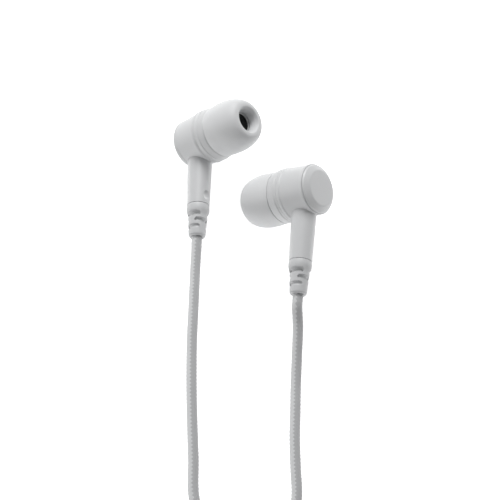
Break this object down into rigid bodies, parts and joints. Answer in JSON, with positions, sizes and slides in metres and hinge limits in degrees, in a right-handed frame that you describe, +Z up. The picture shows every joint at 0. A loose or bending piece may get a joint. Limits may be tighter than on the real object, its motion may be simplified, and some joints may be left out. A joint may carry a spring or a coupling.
{
  "type": "wired earphones",
  "caption": "Wired in-ear earphones: stemmed earbuds with silicone tips, braided cords that join at a splitter, a cord slider, a tied hank and a straight stereo plug.",
  "frame": {"origin": "centre of the two earbuds in plan, on the table they lie on", "axes": "+Z up from the table, +Y from the cord towards the earbuds, +X to the right ear's earbud"},
  "size_m": [0.0453, 0.2346, 0.0216],
  "materials": {
    "ear_tip_silicone": "soft matte light grey silicone",
    "nozzle_mesh": "fine black woven mesh",
    "housing": "matte light grey moulded plastic",
    "rear_cap": "matte light grey moulded plastic",
    "stem": "satin light grey plastic",
    "relief_rubber": "soft light grey rubber",
    "driver_frame": "black moulded plastic",
    "driver_steel": "plated steel",
    "magnet": "nickel-plated magnet",
    "coil_copper": "enamelled copper wire",
    "diaphragm_film": "thin amber polymer film",
    "gasket_foam": "black foam",
    "circuit_board": "green circuit board",
    "cord_braid": "light grey braided textile sleeve",
    "tie_band": "matte grey rubber band",
    "slider_rubber": "light grey soft rubber",
    "splitter_shell": "light grey plastic",
    "plug_barrel": "light grey plastic",
    "plug_insulator": "black insulator",
    "plug_contact": "gold-plated brass"
  },
  "bodies": {
    "earphones": {"cord_hank": "cord_braid", "hank_tie": "tie_band", "left_cord": "cord_braid", "left_cord_end": "cord_braid", "left_driver_frame": "driver_frame", "left_driver_magnet": "magnet", "left_driver_top_plate": "driver_steel", "left_driver_yoke": "driver_steel", "left_front_gasket": "gasket_foam", "left_front_housing": "housing", "left_inner_cord": "relief_rubber", "left_nozzle_mesh": "nozzle_mesh", "left_rear_cap": "rear_cap", "left_rear_housing": "housing", "left_stem": "stem", "left_strain_relief": "relief_rubber", "left_terminal_board": "circuit_board", "main_cord_end": "cord_braid", "plug_barrel": "plug_barrel", "plug_cord": "cord_braid", "plug_insulator": "plug_insulator", "plug_ring_contact": "plug_contact", "plug_sleeve_contact": "plug_contact", "plug_strain_relief": "relief_rubber", "plug_terminal_block": "driver_frame", "plug_tip_contact": "plug_contact", "right_cord": "cord_braid", "right_cord_end": "cord_braid", "right_driver_frame": "driver_frame", "right_driver_magnet": "magnet", "right_driver_top_plate": "driver_steel", "right_driver_yoke": "driver_steel", "right_front_gasket": "gasket_foam", "right_front_housing": "housing", "right_inner_cord": "relief_rubber", "right_nozzle_mesh": "nozzle_mesh", "right_rear_cap": "rear_cap", "right_rear_housing": "housing", "right_stem": "stem", "right_strain_relief": "relief_rubber", "right_terminal_board": "circuit_board", "splitter_clamp": "driver_frame", "splitter_lower_shell": "splitter_shell", "splitter_upper_shell": "splitter_shell"},
    "left_tip": {"left_ear_tip": "ear_tip_silicone"},
    "right_tip": {"right_ear_tip": "ear_tip_silicone"},
    "left_moving_coil": {"left_diaphragm": "diaphragm_film", "left_voice_coil": "coil_copper"},
    "right_moving_coil": {"right_diaphragm": "diaphragm_film", "right_voice_coil": "coil_copper"},
    "slider": {"cable_slider": "slider_rubber"}
  },
  "joints": [
    {"name": "left_ear_tip_pull", "type": "slide", "parent": "earphones", "child": "left_tip", "axis": [0.7073, -0.1359, 0.6937], "range_m": [0, 0.004]},
    {"name": "left_diaphragm_travel", "type": "slide", "parent": "earphones", "child": "left_moving_coil", "axis": [0.7073, -0.1359, 0.6937], "range_m": [-0.0002, 0.0002], "stiffness_N_per_m": 100},
    {"name": "right_ear_tip_pull", "type": "slide", "parent": "earphones", "child": "right_tip", "axis": [-0.7689, 0.1995, -0.6075], "range_m": [0, 0.004]},
    {"name": "right_diaphragm_travel", "type": "slide", "parent": "earphones", "child": "right_moving_coil", "axis": [-0.7689, 0.1995, -0.6075], "range_m": [-0.0002, 0.0002], "stiffness_N_per_m": 100},
    {"name": "cable_slider_travel", "type": "slide", "parent": "earphones", "child": "slider", "axis": [0, 1, 0], "range_m": [0, 0.014]}
  ]
}
